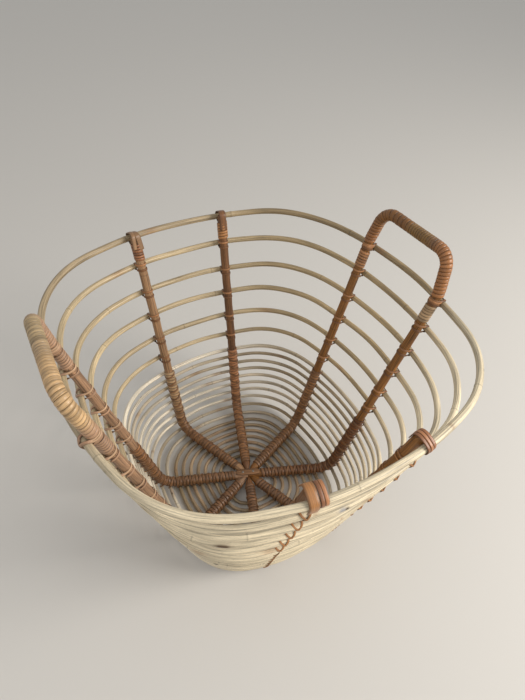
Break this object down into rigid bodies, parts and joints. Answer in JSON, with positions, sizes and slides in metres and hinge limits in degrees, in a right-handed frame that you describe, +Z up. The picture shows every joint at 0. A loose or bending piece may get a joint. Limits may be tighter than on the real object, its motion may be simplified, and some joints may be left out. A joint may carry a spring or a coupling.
{
  "type": "wicker log basket",
  "caption": "Low open rattan basket for firewood: flared rounded-square body of rods lashed to bent ribs, with a raised rectangular carrying handle on two opposite sides.",
  "frame": {"origin": "middle of the footprint, on the floor", "axes": "+Z up; +X towards one carrying handle; +Y towards the side whose two rib tops carry short wound zones under the rim"},
  "size_m": [0.5408, 0.5414, 0.4496],
  "materials": {
    "straw_rod": "matte peeled rattan, straw coloured",
    "pale_rod": "matte peeled rattan, pale cream",
    "rib_rod": "satin skin-on rattan, mid brown",
    "grip_strip_red": "satin wound cane strip, reddish brown to olive",
    "grip_strip_tan": "satin wound cane strip, ochre to olive",
    "rib_strip": "satin wound cane strip, brown",
    "lashing_strip": "satin split cane lashing, tan",
    "flat_strip": "satin flat cane strip, orange tan",
    "tack": "dull steel"
  },
  "bodies": {
    "root": {"rim_ring": "straw_rod", "wall_ring_2": "straw_rod", "wall_ring_3": "straw_rod", "wall_ring_4": "straw_rod", "wall_ring_5": "straw_rod", "wall_ring_6": "straw_rod", "close_ring_1": "pale_rod", "close_ring_2": "pale_rod", "close_ring_3": "pale_rod", "close_ring_4": "pale_rod", "close_ring_5": "pale_rod", "close_ring_6": "pale_rod", "close_ring_7": "pale_rod", "close_ring_8": "pale_rod", "close_ring_9": "pale_rod", "close_ring_10": "pale_rod", "base_ring_1": "pale_rod", "base_ring_2": "pale_rod", "base_ring_3": "pale_rod", "base_ring_4": "pale_rod", "base_ring_5": "pale_rod", "base_ring_6": "pale_rod", "base_ring_7": "pale_rod", "handle_frame_right": "rib_rod", "handle_frame_left": "rib_rod", "rib_north": "rib_rod", "rib_northwest": "rib_rod", "rib_south": "rib_rod", "rib_southeast": "rib_rod", "grip_winding_right": "grip_strip_red", "grip_winding_left": "grip_strip_tan", "rib_winding_east": "rib_strip", "rib_winding_northeast": "rib_strip", "rib_winding_north": "rib_strip", "rib_winding_northwest": "rib_strip", "rib_winding_west": "rib_strip", "rib_winding_southwest": "rib_strip", "rib_winding_south": "rib_strip", "rib_winding_southeast": "rib_strip", "top_windings_right": "rib_strip", "top_windings_left": "rib_strip", "top_windings_back": "rib_strip", "base_lashings": "lashing_strip", "lashings_east": "lashing_strip", "lashings_northeast": "lashing_strip", "lashings_north": "lashing_strip", "lashings_northwest": "lashing_strip", "lashings_west": "lashing_strip", "lashings_southwest": "lashing_strip", "lashings_south": "lashing_strip", "lashings_southeast": "lashing_strip", "rim_bindings_right": "lashing_strip", "rim_bindings_left": "lashing_strip", "rim_straps_back": "flat_strip", "rim_straps_front": "flat_strip", "hub_strap": "flat_strip", "hub_tacks": "tack"}
  },
  "joints": []
}
